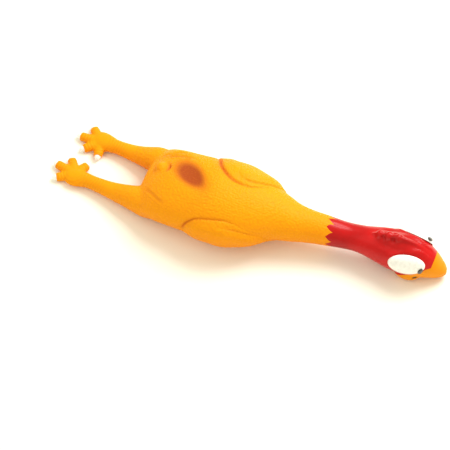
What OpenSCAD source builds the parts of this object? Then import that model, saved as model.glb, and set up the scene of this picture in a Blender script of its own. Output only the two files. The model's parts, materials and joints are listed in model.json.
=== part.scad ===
// Rubber chicken: a hollow latex skin, moulded in one piece from toes to beak, with a reed
// squeaker snapped into the belly. The skin is divided where it bends, where the back is
// squeezed in, and where its paint changes.
// +X points to the beak and +Z up. The origin is the middle of the squeaker's face, which
// lies on the table with the chicken on its belly.

/* [Torso] */
// Length from the crotch to the root of the neck
torso_len = 160; // [130:1:200]
// Width at the chest, without the wings
torso_w = 91; // [75:1:112]
// Height at the chest
torso_h = 68; // [56:1:84]
// Thickness of the latex
skin = 2; // [1.5:0.1:2.6]
// How far the front of the torso lies bowed to the left
front_lean = 8.5; // [-12:0.5:12]
// How far the rear of the torso lies bowed to the left
rear_lean = 5; // [-8:0.5:8]
// Height at which the back starts to give when squeezed
squeeze_z = 54; // [44:1:56]
// Height of the soft band between the torso and the part of the back that is pressed
squeeze_band = 5; // [3:0.5:7]

/* [Neck and head] */
// Length of the neck from its root to the head
neck_len = 86; // [70:1:104]
// Width of the neck at its root
neck_root_w = 50; // [42:1:58]
// Smallest radius of the neck
neck_r = 14.2; // [11.5:0.1:17.5]
// How far the neck lies turned to the left
neck_turn = 8.5; // [-15:0.5:15]
// How far the head lies turned to the left
head_turn = 4.5; // [-15:0.5:15]
// Length of the head from the neck to the root of the beak
head_len = 76; // [64:1:92]
// Width of the head
head_w = 44; // [37:1:53]
// Height of the head without the comb
head_h = 49; // [41:1:59]
// Length of the beak
beak_len = 18; // [15:1:22]
// Length of an eye
eye_len = 40; // [34:1:46]
// Height of the comb's tallest point above the head
comb_h = 6; // [4:0.5:9]
// Thickness of the comb
comb_t = 7; // [4:0.5:9]

/* [Legs and feet] */
// Length of a leg from the torso to the foot
leg_len = 55; // [45:1:66]
// How much further back the right foot lies than the left one
leg_stagger = 10; // [-10:1:10]
// Radius of a leg at the hip
hip_r = 14; // [11.5:0.1:15.5]
// Radius of a leg at its thinnest
shank_r = 6.7; // [5.5:0.1:8]
// Distance of each leg from the middle plane
leg_y = 27; // [24:0.5:31]
// Distance from the leg's end to the middle of the palm
palm_reach = 16; // [13:1:20]
// Radius of the palm
palm_r = 10; // [8:0.5:12]
// Length of the middle toe from the middle of the palm
toe_len = 23; // [18:0.5:27]
// Radius of a toe
toe_r = 4.5; // [3.7:0.1:5.5]
// Length of a claw
claw_len = 5.5; // [4:0.5:7]
// How far the left leg swings to the left
left_leg_turn = 4.5; // [-4:0.5:12]
// How far the right leg swings to the left
right_leg_turn = 6; // [-12:0.5:8]
// How far the left foot lies turned from straight back
left_foot_turn = 0; // [-20:1:20]
// How far the right foot lies turned from straight back
right_foot_turn = -13; // [-20:1:20]

/* [Squeaker] */
// Radius of the flange outside the skin
flange_r = 13; // [11:0.5:15]
// Thickness of the flange
flange_t = 1.6; // [1.2:0.1:2]
// Radius of the groove that grips the skin
groove_r = 9.5; // [8.5:0.1:10]
// Radius of the barrel inside the skin
barrel_r = 11.5; // [10.8:0.1:13]
// Height of the barrel above the groove
barrel_h = 11; // [9:0.5:14]
// Radius of the barrel's bore
bore_r = 7; // [6:0.1:8]
// Thickness of the reed
reed_t = 0.2; // [0.15:0.05:0.3]
// Gap between the reed and each half of its holder
reed_gap = 0.1; // [0.08:0.01:0.15]

/* [Hidden] */

yellow = [0.98, 0.72, 0.06];
red = [0.86, 0.11, 0.10];
beak_orange = [0.97, 0.62, 0.08];
white = [0.96, 0.95, 0.92];
black = [0.10, 0.08, 0.07];
clear_plastic = [0.85, 0.87, 0.88];
brass = [0.80, 0.62, 0.28];

crotch_x = -torso_len / 2;
neck_root_x = torso_len / 2;
straight_from = -0.19 * torso_len;   // where the torso's rear starts to bow
fit = 0.1;        // play between the pieces of the squeaker
lip_play = 0.2;   // play between the latex lip and the squeaker's groove

// ---- curves and lofts ----------------------------------------------------------------

function ease(u) = let (v = max(0, min(1, u))) v * v * (3 - 2 * v);

// Smooth curve through the rows of a table: x in column 0, the value in column c.
function row_of(t, x, i = 0) = i >= len(t) - 2 || x <= t[i + 1][0] ? i : row_of(t, x, i + 1);
function slope(t, c, i) =
    let (a = max(i - 1, 0), b = min(i + 1, len(t) - 1)) (t[b][c] - t[a][c]) / (t[b][0] - t[a][0]);
function curve(t, c, x) =
    let (i = row_of(t, x), w = t[i + 1][0] - t[i][0], u = (x - t[i][0]) / w)
    (2 * u ^ 3 - 3 * u ^ 2 + 1) * t[i][c] + (u ^ 3 - 2 * u ^ 2 + u) * slope(t, c, i) * w
    + (3 * u ^ 2 - 2 * u ^ 3) * t[i + 1][c] + (u ^ 3 - u ^ 2) * slope(t, c, i + 1) * w;

// How far the middle of the torso lies to the left at x: its two ends are bowed.
function bow(u) = max(0, u) ^ 1.6;
function lie(x) = front_lean * bow(x / neck_root_x) + rear_lean * bow((straight_from - x) / (straight_from - crotch_x));

// An oval ring standing across the body: w and h are half its width and height, and
// square is 2 for an ellipse and more for a boxier oval.
function power(v, p) = sign(v) * abs(v) ^ p;
function ring(centre, turn, w, h, square, sides) = [
    for (i = [0 : sides - 1])
        let (a = 360 * i / sides, y = w * power(cos(a), 2 / square), z = h * power(sin(a), 2 / square))
        [centre[0] - y * sin(turn), centre[1] + y * cos(turn), centre[2] + z]
];
function flat(lists) = [for (l = lists) for (p = l) p];
function skin_faces(rings, sides, first, outward) = [
    for (i = [0 : rings - 2]) for (j = [0 : sides - 1]) for (half = [0, 1])
        let (k = (j + 1) % sides, a = first + i * sides + j, b = first + i * sides + k,
             d = a + sides, c = b + sides, f = half == 0 ? [b, a, d] : [b, d, c])
        outward ? f : [f[2], f[1], f[0]]
];
function cap(start, sides, forward) = [
    for (j = [0 : sides / 2 - 2]) for (half = [0, 1])
        let (a = start + j, d = start + sides - 1 - j, f = half == 0 ? [a, a + 1, d] : [a + 1, d - 1, d])
        forward ? f : [f[2], f[1], f[0]]
];
function rim(a, b, sides, forward) = [
    for (j = [0 : sides - 1]) for (half = [0, 1])
        let (k = (j + 1) % sides, f = half == 0 ? [a + j, a + k, b + j] : [a + k, b + k, b + j])
        forward ? f : [f[2], f[1], f[0]]
];

// A solid through rings listed from the tail end to the beak end.
module loft(rings) {
    sides = len(rings[0]);
    polyhedron(flat(rings), concat(
        skin_faces(len(rings), sides, 0, true),
        cap(0, sides, true),
        cap((len(rings) - 1) * sides, sides, false)));
}

// A hollow skin between outer and inner rings. A closed end has a wall, and an open one a rim.
module shell(outer, inner, tail_closed = false, beak_closed = false) {
    sides = len(outer[0]);
    start = len(outer) * sides;
    outer_end = start - sides;
    inner_end = start + (len(inner) - 1) * sides;
    polyhedron(flat(concat(outer, inner)), concat(
        skin_faces(len(outer), sides, 0, true),
        skin_faces(len(inner), sides, start, false),
        tail_closed ? concat(cap(0, sides, true), cap(start, sides, false))
                    : rim(0, start, sides, true),
        beak_closed ? concat(cap(outer_end, sides, false), cap(inner_end, sides, true))
                    : rim(outer_end, inner_end, sides, false)));
}
function steps(a, b, n) = [for (i = [0 : n]) a + (b - a) * i / n];

// ---- torso ---------------------------------------------------------------------------

torso_sides = 40;
// share of the length from the crotch, half width, underside, top, squareness
torso_shape = [
    [0.00, leg_y + hip_r, 2.0, 2 * hip_r + 6, 3.4],
    [0.12, 0.480 * torso_w, 1.4, 0.70 * torso_h, 2.6],
    [0.31, 0.490 * torso_w, 0.6, 0.91 * torso_h, 2.2],
    [0.50, 0.500 * torso_w, 0.4, 1.00 * torso_h, 2.1],
    [0.69, 0.477 * torso_w, 0.8, 0.97 * torso_h, 2.1],
    [0.85, 0.396 * torso_w, 3.5, 0.89 * torso_h, 2.0],
    [1.00, neck_root_w / 2, 9.0, 0.77 * torso_h, 2.0]
];
function torso_ring(x, inset) =
    let (f = (x - crotch_x) / torso_len, low = curve(torso_shape, 2, f), top = curve(torso_shape, 3, f))
    ring([x, lie(x), (low + top) / 2], 0, curve(torso_shape, 1, f) - inset, (top - low) / 2 - inset,
         curve(torso_shape, 4, f), torso_sides);
torso_steps = 20;

module torso_shell() {
    shell([for (x = steps(crotch_x, neck_root_x, torso_steps)) torso_ring(x, 0)],
          [for (x = steps(crotch_x + skin, neck_root_x, torso_steps)) torso_ring(x, skin)],
          tail_closed = true);
}
module slab(low, high) {
    translate([crotch_x - 1, -torso_w, low]) cube([torso_len + 2, 2 * torso_w, high - low]);
}

lip_low = flange_t + fit;
lip_r = groove_r + lip_play;
collar_r = flange_r + skin + 3;
module collar() {
    rotate_extrude($fn = 96) polygon([
        [lip_r, lip_low], [flange_r + lip_play, lip_low], [flange_r + lip_play, 0],
        [collar_r, 0], [collar_r, lip_low + skin], [lip_r, lip_low + skin]
    ]);
}
module torso_skin() color(yellow) {
    difference() {
        torso_shell();
        slab(squeeze_z, 2 * torso_h);
        translate([0, 0, -1]) cylinder(r = collar_r - 1, h = lip_low + skin + 1.5, $fn = 96);
        for (side = [-1, 1]) translate([crotch_x - 1, side * leg_y + rear_lean, hip_z])
            rotate([0, 90, 0]) cylinder(r = hip_r - skin - 1, h = skin + 2, $fn = 64);
    }
    collar();
}
module back_skin() color(yellow) intersection() {
    torso_shell();
    slab(squeeze_z + squeeze_band, 2 * torso_h);
}
module back_soft_band() color(yellow) intersection() {
    torso_shell();
    slab(squeeze_z, squeeze_z + squeeze_band);
}

// A folded wing: a raised leaf that lies along the flank, blunt behind and narrow in front.
wing_from = -0.11 * torso_len;
wing_to = 0.45 * torso_len;
wing_proud = 4.5;
wing_sides = 12;
// share of the length, lower edge and upper edge in degrees round the torso, proudness share
wing_shape = [
    [0.00, -14, -2, 0.10],
    [0.10, -28, 20, 0.75],
    [0.33, -34, 31, 1.00],
    [0.65, -26, 29, 1.00],
    [0.88, -12, 17, 0.75],
    [1.00, -3, 5, 0.10]
];
module wing(side) {
    // A point on the flank, so far round the torso and so far out of its skin.
    function flank(x, a, out) =
        let (f = (x - crotch_x) / torso_len, low = curve(torso_shape, 2, f), top = curve(torso_shape, 3, f),
             q = curve(torso_shape, 4, f))
        [x, lie(x) + side * (curve(torso_shape, 1, f) * power(cos(a), 2 / q) + out * cos(a)),
         (low + top) / 2 + ((top - low) / 2) * power(sin(a), 2 / q) + out * sin(a)];
    rings = [for (f = steps(0, 1, 14))
        let (x = wing_from + (wing_to - wing_from) * f, low = curve(wing_shape, 1, f),
             high = curve(wing_shape, 2, f), proud = wing_proud * curve(wing_shape, 3, f),
             back = [for (u = steps(0, 1, wing_sides)) flank(x, low + (high - low) * u, -skin / 2)],
             front = [for (u = steps(1, 0, wing_sides))
                 flank(x, low + (high - low) * u, proud * (1 - (2 * u - 1) ^ 4) + 0.02)])
        side > 0 ? concat(front, back) : concat(back, front)];
    color(yellow) loft(rings);
}

nub_len = 16;
nub_x = crotch_x + 18;
nub_y = lie(nub_x) + 4;                       // the tail nub lies a little to the left
module tail_nub() color(yellow) translate([nub_x, nub_y, curve(torso_shape, 3, (nub_x - crotch_x) / torso_len)])
    scale([nub_len / 2, 6, 4.5]) sphere(r = 1, $fn = 48);

// ---- neck and head -------------------------------------------------------------------

bend_len = [18, 16, 16];                      // root, middle and throat bends
rigid_len = (neck_len - bend_len[0] - bend_len[1] - bend_len[2]) / 2;
lower_from = bend_len[0];
lower_to = lower_from + rigid_len;
upper_from = lower_to + bend_len[1];
upper_to = upper_from + rigid_len;
head_front = neck_len + head_len;
neck_sides = 32;

// s runs along the middle of the neck and head from the neck's root. Half width, underside, top.
neck_shape = [
    [0, neck_root_w / 2, 9.0, 0.77 * torso_h],
    [0.21 * neck_len, neck_r + 5.3, 10.5, 49],
    [0.50 * neck_len, neck_r + 2.6, 11.6, 45.5],
    [0.80 * neck_len, neck_r, 12.6, 41.2],
    [neck_len, neck_r + 0.6, 12.0, 42.5],
    [neck_len + 0.22 * head_len, neck_r + 2.8, 8.5, 46],
    [neck_len + 0.48 * head_len, 0.48 * head_w, 2.5, head_h + 0.3],
    [neck_len + 0.72 * head_len, 0.50 * head_w, 0.4, head_h],
    [head_front, 0.34 * head_w, 1.0, 0.76 * head_h]
];
function turn_at(s) =
    neck_turn * min(1, s / bend_len[0]) + (head_turn - neck_turn) * max(0, min(1, (s - upper_to) / bend_len[2]));
// Where the middle of the neck or head is, seen from above: each stretch goes its mean way.
function on_neck(s) =
    let (root = min(s, bend_len[0]), straight = max(0, min(s, upper_to) - bend_len[0]),
         throat = max(0, min(s, neck_len) - upper_to), head = max(0, s - neck_len),
         a = turn_at(root) / 2, b = (neck_turn + turn_at(min(s, neck_len))) / 2)
    [neck_root_x + root * cos(a) + straight * cos(neck_turn) + throat * cos(b) + head * cos(head_turn),
     front_lean + root * sin(a) + straight * sin(neck_turn) + throat * sin(b) + head * sin(head_turn)];
function neck_ring(s, inset) =
    let (p = on_neck(s), low = curve(neck_shape, 2, s), top = curve(neck_shape, 3, s))
    ring([p[0], p[1], (low + top) / 2], turn_at(s), curve(neck_shape, 1, s) - inset,
         (top - low) / 2 - inset, 2, neck_sides);
module neck_part(from, to, n) {
    shell([for (s = steps(from, to, n)) neck_ring(s, 0)], [for (s = steps(from, to, n)) neck_ring(s, skin)]);
}
// Puts a child, drawn with +X along the head, at s along the neck.
module at_neck(s, y, z) {
    p = on_neck(s);
    translate([p[0], p[1], 0]) rotate([0, 0, turn_at(s)]) translate([0, y, z]) children();
}

module neck_root_bend() color(yellow) neck_part(0, lower_from, 5);
module lower_neck() color(yellow) neck_part(lower_from, lower_to, 3);
module mid_neck_bend() color(yellow) neck_part(lower_to, upper_from, 4);
module upper_neck() color(red) neck_part(upper_from, upper_to, 3);
module throat_bend() color(red) neck_part(upper_to, neck_len, 4);
module head_skin() color(red)
    shell([for (s = steps(neck_len, head_front, 14)) neck_ring(s, 0)],
          [for (s = steps(neck_len, head_front - skin, 14)) neck_ring(s, skin)], beak_closed = true);

module beak() {
    rise = 0.76 * head_h;
    // share of the length, half width, underside, top
    shape = [
        [0, 0.34 * head_w, 1.0, rise],
        [0.35, 0.30 * head_w, 1.2, 0.86 * rise],
        [0.7, 0.22 * head_w, 2.6, 0.64 * rise],
        [0.92, 0.12 * head_w, 4.5, 0.40 * rise],
        [1, 0.04 * head_w, 6.0, 0.27 * rise]
    ];
    color(beak_orange) loft([for (f = steps(0, 1, 10))
        let (p = on_neck(head_front + f * beak_len), low = curve(shape, 2, f), top = curve(shape, 3, f))
        ring([p[0], p[1], (low + top) / 2], head_turn, curve(shape, 1, f), (top - low) / 2, 2, 28)]);
}

// The comb: an upright crest with three rounded lumps, falling to the forehead.
comb_from = neck_len + 0.16 * head_len;
comb_to = neck_len + 0.82 * head_len;
comb_root = skin / 2;
comb_lumps = 3;
module comb() {
    length = comb_to - comb_from;
    function crest(f) =
        comb_h * (f < 0.6 ? ease(f / 0.25) * (0.75 + 0.25 * abs(sin(180 * comb_lumps * f / 0.6)))
                          : 0.75 * (1 - ease((f - 0.6) / 0.4)));
    function head_top(f) = curve(neck_shape, 3, comb_from + f * length);
    outline = concat(
        [for (f = steps(0, 1, 40)) [f * length, head_top(f) + crest(f)]],
        [for (f = steps(1, 0, 12)) [f * length, head_top(f) - comb_root]]);
    color(red) at_neck(comb_from, 0, 0) rotate([90, 0, 0])
        linear_extrude(comb_t, center = true) polygon(outline);
}

eye_s = neck_len + 0.67 * head_len;
eye_lean = 20;                                // how far an eye looks up from level
eye_depth = 7.5;
eye_tall = 0.61 * eye_len;
eye_out = 0.43 * head_w;
eye_turn = 9.5;                               // its front end turned towards the beak
pupil_r = 2.9;
pupil_tall = 4.6;                             // half the height of a pupil
pupil_t = 1.3;
pupil_rise = 4.5;                             // above the middle of the eye
pupil_lean = [21, 28, 0];                     // it lies on the slope of the eye
module at_eye(side) {
    at_neck(eye_s, 0, 0.52 * head_h) rotate([0, 0, -side * eye_turn])
        rotate([-side * (90 - eye_lean), 0, 0]) translate([0, 0, eye_out]) children();
}
module eye(side) color(white) at_eye(side) intersection() {
    scale([eye_len / 2, eye_tall / 2, eye_depth]) sphere(r = 1, $fn = 64);
    translate([-eye_len, -eye_len, 0]) cube(2 * eye_len);
}
module pupil(side) color(black) at_eye(side)
    translate([0.39 * eye_len, -pupil_rise, 0.51 * eye_depth]) rotate(pupil_lean)
        scale([pupil_r, pupil_tall, pupil_t]) sphere(r = 1, $fn = 48);

// ---- legs and feet -------------------------------------------------------------------

hip_z = hip_r + 3;
ankle_z = 8.5;
hip_bend = 11;
knee_bend = 10;
ankle_bend = 9;
function length_of(side) = leg_len - side * leg_stagger / 2;
function thigh_to(side) = hip_bend + (length_of(side) - hip_bend - knee_bend - ankle_bend) / 2;
function knee_to(side) = thigh_to(side) + knee_bend;
function shank_to(side) = length_of(side) - ankle_bend;
leg_sides = 28;
// share of the length from the hip, radius
leg_shape = [
    [0.00, hip_r],
    [0.17, hip_r - 2.0],
    [0.34, hip_r - 4.4],
    [0.60, shank_r + 0.8],
    [0.82, shank_r],
    [1.00, shank_r + 0.2]
];
function leg_turn(side) = side > 0 ? left_leg_turn : right_leg_turn;
function foot_turn(side) = side > 0 ? left_foot_turn : right_foot_turn;
// Where the middle of a leg is, d from the hip, seen from above.
function on_leg(side, d) =
    let (t = leg_turn(side), b = min(d, hip_bend), a = t * b / hip_bend)
    [crotch_x - b * cos(a / 2) - (d - b) * cos(t), side * leg_y + rear_lean + b * sin(a / 2) + (d - b) * sin(t)];
function leg_ring(side, d, inset) =
    let (f = d / length_of(side), r = curve(leg_shape, 1, f) - inset, p = on_leg(side, d),
         at_hip = leg_turn(side) * min(d, hip_bend) / hip_bend,
         at_ankle = (foot_turn(side) + leg_turn(side)) * max(0, d - shank_to(side)) / ankle_bend)
    ring([p[0], p[1], hip_z + (ankle_z - hip_z) * ease(f)], at_ankle - at_hip, r, r, 2, leg_sides);
module leg_section(side, from, to, n) color(yellow)
    shell([for (d = steps(to, from, n)) leg_ring(side, d, 0)], [for (d = steps(to, from, n)) leg_ring(side, d, skin)]);

// angle outwards from the middle toe, share of its length; from the outer toe to the hind one
toes = [[44, 0.85], [0, 1], [-43, 0.83], [-101, 0.72]];
toe_z = toe_r + 0.6;
seam = 0.03;                                  // keeps a foot just clear of the soft bend it meets
toe_slope = 2;                                // how far the toes droop
palm_z = toe_r + 1.6;                                 // height of the palm's middle above the table
// Puts a child, drawn with +X along the foot away from the leg, at the end of a leg.
module at_foot(side) {
    p = on_leg(side, length_of(side));
    translate([p[0], p[1], 0]) rotate([0, 0, 180 + foot_turn(side)]) mirror([0, side > 0 ? 0 : 1, 0]) children();
}
module at_toe(toe) {
    translate([palm_reach, 0, toe_z]) rotate([0, toe_slope, -toe[0]]) children();
}
// The palm, the ankle running into it, and the toes, each with a flat end for its claw.
module foot(side) color(yellow) at_foot(side) {
    translate([palm_reach, 0, palm_z]) rotate_extrude($fn = 48)
        polygon([for (a = [-90 : 15 : 90]) [palm_r * cos(a), palm_z * sin(a)]]);
    translate([seam, 0, ankle_z]) rotate([0, 90, 0])
        cylinder(r1 = shank_r + 0.2, r2 = 0.8 * shank_r, h = palm_reach - seam, $fn = 48);
    for (toe = toes) at_toe(toe) rotate([0, 90, 0])
        cylinder(r1 = toe_r + 0.3, r2 = toe_r - 0.3, h = toe[1] * toe_len, $fn = 48);
}
module claws(side) color(white) at_foot(side) for (toe = toes) at_toe(toe)
    translate([toe[1] * toe_len, 0, 0]) rotate([0, 90, 0]) rotate_extrude($fn = 32) polygon(concat(
        [[0, 0]], [for (a = [0 : 10 : 90]) [(toe_r - 0.9) * cos(a), claw_len * sin(a)]]));

// ---- squeaker ------------------------------------------------------------------------

groove_top = lip_low + skin + fit;
barrel_top = groove_top + barrel_h;
chamber_r = bore_r - 2;
holder_low = groove_top + 0.6;
holder_r = bore_r - fit;
holder_top = barrel_top - 0.5;
clamp_h = 1.4;
sound_holes = 3;
module squeaker_body() color(clear_plastic) difference() {
    rotate_extrude($fn = 96) polygon([
        [0, 0], [flange_r, 0], [flange_r, flange_t], [groove_r, flange_t], [groove_r, groove_top],
        [barrel_r, groove_top], [barrel_r, barrel_top], [bore_r, barrel_top], [bore_r, holder_low],
        [chamber_r, holder_low], [chamber_r, flange_t], [0, flange_t]
    ]);
    for (i = [0 : sound_holes - 1]) rotate([0, 0, 360 * i / sound_holes])
        translate([3.4, 0, -1]) cylinder(r = 1.1, h = flange_t + 2, $fn = 32);
}
// Half of the round holder, on one side of the reed.
module holder_half(side, height) {
    face = reed_t / 2 + reed_gap;
    intersection() {
        translate([0, 0, holder_low + fit]) cylinder(r = holder_r, h = height, $fn = 64);
        translate([-bore_r, side > 0 ? face : -bore_r - face, 0]) cube([2 * bore_r, bore_r, barrel_top + 1]);
    }
}
module reed_base() color(clear_plastic) difference() {
    holder_half(-1, holder_top - holder_low - fit);
    translate([-1.2, -2.6, holder_low - 1]) cube([2.4, 2.6, barrel_h - 3]);
}
module reed_clamp() color(clear_plastic) holder_half(1, clamp_h);
module reed() color(brass)
    translate([-2, -reed_t / 2, holder_low + 2 * fit]) cube([4, reed_t, holder_top - holder_low - 1]);

// ---- what is drawn -------------------------------------------------------------------

torso_skin();
back_skin();
back_soft_band();
wing(1);  // left_wing
wing(-1);  // right_wing
tail_nub();
neck_root_bend();
lower_neck();
mid_neck_bend();
upper_neck();
throat_bend();
head_skin();
comb();
eye(1);  // left_eye
eye(-1);  // right_eye
pupil(1);  // left_pupil
pupil(-1);  // right_pupil
beak();
leg_section(1, 0, hip_bend, 4);  // left_hip_bend
leg_section(1, hip_bend, thigh_to(1), 3);  // left_thigh
leg_section(1, thigh_to(1), knee_to(1), 4);  // left_knee_bend
leg_section(1, knee_to(1), shank_to(1), 3);  // left_shank
leg_section(1, shank_to(1), length_of(1), 4);  // left_ankle_bend
foot(1);  // left_foot
claws(1);  // left_claws
leg_section(-1, 0, hip_bend, 4);  // right_hip_bend
leg_section(-1, hip_bend, thigh_to(-1), 3);  // right_thigh
leg_section(-1, thigh_to(-1), knee_to(-1), 4);  // right_knee_bend
leg_section(-1, knee_to(-1), shank_to(-1), 3);  // right_shank
leg_section(-1, shank_to(-1), length_of(-1), 4);  // right_ankle_bend
foot(-1);  // right_foot
claws(-1);  // right_claws
squeaker_body();
reed_base();
reed();
reed_clamp();
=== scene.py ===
"""Rubber chicken: the looks of a hollow latex prop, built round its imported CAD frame.

The skin is modelled in one piece, as it is moulded, then cut where the frame has its bodies.
Lengths in the shape tables are millimetres; everything in Blender is metres.
"""

import json
import math

import bpy
import numpy as np
from bpy.props import (
    FloatProperty,
    FloatVectorProperty,
    IntProperty,
    PointerProperty,
)
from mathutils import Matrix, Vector


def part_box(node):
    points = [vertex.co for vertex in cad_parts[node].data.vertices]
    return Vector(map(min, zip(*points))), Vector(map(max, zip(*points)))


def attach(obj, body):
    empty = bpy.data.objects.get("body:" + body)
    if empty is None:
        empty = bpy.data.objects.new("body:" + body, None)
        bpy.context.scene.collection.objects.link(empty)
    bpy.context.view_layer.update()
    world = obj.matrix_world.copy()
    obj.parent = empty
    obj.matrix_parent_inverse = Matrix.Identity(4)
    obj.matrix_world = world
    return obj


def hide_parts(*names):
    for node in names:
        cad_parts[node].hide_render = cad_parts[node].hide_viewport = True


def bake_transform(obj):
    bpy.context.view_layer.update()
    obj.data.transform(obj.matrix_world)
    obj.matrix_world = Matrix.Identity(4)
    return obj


bl_info = {
    "name": "Rubber Chicken",
    "version": (1, 0, 0),
    "blender": (4, 5, 0),
    "location": "View3D > Sidebar > Rubber Chicken",
    "description": "Models a latex rubber chicken and the table it lies on",
    "category": "Object",
}

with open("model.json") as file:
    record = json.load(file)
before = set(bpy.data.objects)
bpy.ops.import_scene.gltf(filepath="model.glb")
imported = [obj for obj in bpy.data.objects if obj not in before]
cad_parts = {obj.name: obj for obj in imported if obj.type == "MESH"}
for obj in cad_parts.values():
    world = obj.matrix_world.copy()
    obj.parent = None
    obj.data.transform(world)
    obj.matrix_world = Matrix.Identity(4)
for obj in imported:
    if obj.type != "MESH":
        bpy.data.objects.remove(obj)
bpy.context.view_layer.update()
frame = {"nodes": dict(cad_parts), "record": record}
MM = 0.001

# ---- sizes that come from the frame ---------------------------------------------------

JOINTS = {joint["name"]: joint for joint in frame["record"]["behaviour"]["joints"]}


def heading(name):
    """How far a joint's level axis is turned to the left from straight across, in radians."""
    x, y, _ = JOINTS[name]["axis"]
    return math.atan2(-x, y) if y > 0 else math.atan2(x, -y)


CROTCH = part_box("torso_skin")[0][0] / MM
NECK_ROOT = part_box("torso_skin")[1][0] / MM
NECK_TURN = heading("neck_lift") * 2
HEAD_TURN = heading("head_nod") * 2 - NECK_TURN
TURN_LENGTH = 18.0   # of the neck's root, over which the neck turns
THROAT_START = 70.0  # along the neck
HEAD_START = 86.0
# The torso is bowed to the left at both ends; between them it lies straight.
FRONT_LEAN = 8.5
REAR_LEAN = 5.0
BOW_FROM = -30.4     # where the rear starts to bow
LEG_Y = 27.0
HIP_BEND = 11.0
ANKLE_BEND = 9.0
LEG_LENGTH = {1: 50.0, -1: 60.0}
# How far each leg swings to the left, and how far each foot is turned from straight back.
LEG_TURN = {1: math.radians(4.5), -1: math.radians(6.0)}
FOOT_TURN = {1: 0.0, -1: math.radians(-13.0)}

# Half width, underside and top of the body at each place from the rump to the beak, as the
# mould has it, with the body and neck straight and without the wings.
BODY = (
    (-79.5, 24, 7, 28), (-78, 31, 5, 32), (-75, 37.5, 3.6, 35.5), (-70, 41, 2.4, 40.5),
    (-62, 43.6, 1.6, 47.5), (-48, 44.8, 0.9, 56), (-30, 45.2, 0.6, 62), (0, 45.6, 0.4, 68),
    (30, 43.4, 0.8, 66), (45, 40, 2, 63.5),
    (56, 36, 3.5, 60.6), (68, 30.4, 6, 57), (80, 25, 9, 52.4), (98, 19.8, 10.5, 49), (111, 17.4, 11, 47),
    (123, 16.4, 11.6, 45.5), (149, 14.5, 12.6, 41.4), (166, 15.2, 12, 42.5), (183, 18.6, 7.8, 46),
    (193, 20.4, 4.2, 47.8), (202, 21.6, 1.8, 48.8), (221, 21.8, 0.5, 47.8), (233, 19.6, 0.5, 43),
    (242, 15.8, 1, 36.5), (249, 12.4, 1.5, 29.5), (254, 9.2, 2.6, 22.5), (258, 6.1, 4.2, 17),
    (260, 3, 6.5, 13),
)
# Distance from the leg's hip, height of its middle, half width, half height.
LEG = (
    (-26, 20, 13, 13), (-12, 18.5, 15.4, 15), (0, 17.2, 14.4, 14), (9, 15.6, 12.4, 12.2),
    (19, 13, 10.6, 10.4), (30, 11, 9, 8.8), (42, 9.6, 8, 7.8), (50, 8.9, 7.7, 7.4), (55, 8.3, 8.1, 7.2),
    (61, 7.5, 9.4, 6.8), (69, 6.4, 10.6, 6.2), (76, 5.8, 9.4, 5.4), (80, 5.4, 6, 3.8),
)
LEG_DRAWN = 55.0     # the length this table is drawn for, up to the ankle
# Turn from the middle toe, outwards positive, and length; from the outer to the hind toe.
TOES = ((44, 19.6), (0, 23.2), (-43, 19.3), (-101, 16.7))
TOE_HEIGHT = 5.1
PALM_REACH = 16.0

# A folded wing is a leaf raised out of the flank. Outlines run round it as (x, degrees up the
# flank from its widest line); the left wing is folded higher on the back than the right one.
WING_TOP = {
    -1: ((-16.5, -8), (-15.8, 2), (-13.8, 11), (-10.8, 19), (-4.5, 27.6), (4, 32), (12, 34.5),
         (20, 37), (28, 38.5), (38, 36), (48, 29), (58, 20), (66, 9)),
    1: ((-16.5, -8), (-15, 4), (-12, 17), (-8, 31), (-4.7, 42), (-1.7, 53), (3, 61), (8.5, 68),
        (14, 73), (20, 76.5), (29, 78.5), (38, 78), (47, 72), (56, 60), (64, 38), (69, 20)),
}
WING_UNDER = ((72, -6), (71, -16), (60, -28), (42, -36), (22, -40), (5, -38), (-7, -31), (-14, -20))
# The longest feathers: a second leaf on the first.
FEATHERS_TOP = {
    -1: ((-6, 6), (12, 20), (30.5, 26.6), (43.5, 23.6), (53, 19), (60.3, 14), (67, 6)),
    1: ((-6, 20), (12, 55), (28, 69), (35.7, 69.5), (44, 65), (52.1, 58), (61, 44), (67.4, 26)),
}
FLANK_RADIUS = 46.0
# The rings round the shanks and toes are measured out from the palms, up to here.
RING_SPAN = 100.0


def curve(rows, column, x):
    """The smooth curve through one column of a table, at x."""
    last = len(rows) - 1
    i = min(max(sum(r[0] <= x for r in rows) - 1, 0), last - 1)

    def slope(k):
        a, b = rows[max(k - 1, 0)], rows[min(k + 1, last)]
        return (b[column] - a[column]) / (b[0] - a[0])

    width = rows[i + 1][0] - rows[i][0]
    u = (min(max(x, rows[0][0]), rows[last][0]) - rows[i][0]) / width
    return (
        (2 * u**3 - 3 * u**2 + 1) * rows[i][column] + (u**3 - 2 * u**2 + u) * slope(i) * width
        + (3 * u**2 - 2 * u**3) * rows[i + 1][column] + (u**3 - u**2) * slope(i + 1) * width
    )


def ease(u):
    """0 below 0, 1 above 1 and smooth between, on numbers and arrays."""
    u = np.clip(u, 0, 1)
    return u * u * (3 - 2 * u)


def bow(u):
    return np.maximum(0, u) ** 1.6


def lean(x):
    """How far the middle of the body lies to the left at x."""
    x = np.clip(x, CROTCH, NECK_ROOT)
    return FRONT_LEAN * bow(x / NECK_ROOT) + REAR_LEAN * bow((BOW_FROM - x) / (BOW_FROM - CROTCH))


def path(s, turn, length):
    """A way that turns by turn over a length, then goes straight: its place and turn at s."""
    b = min(s, length)
    a = turn * b / length
    return (
        b * math.cos(a / 2) + (s - b) * math.cos(turn), b * math.sin(a / 2) + (s - b) * math.sin(turn), a,
    )


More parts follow.
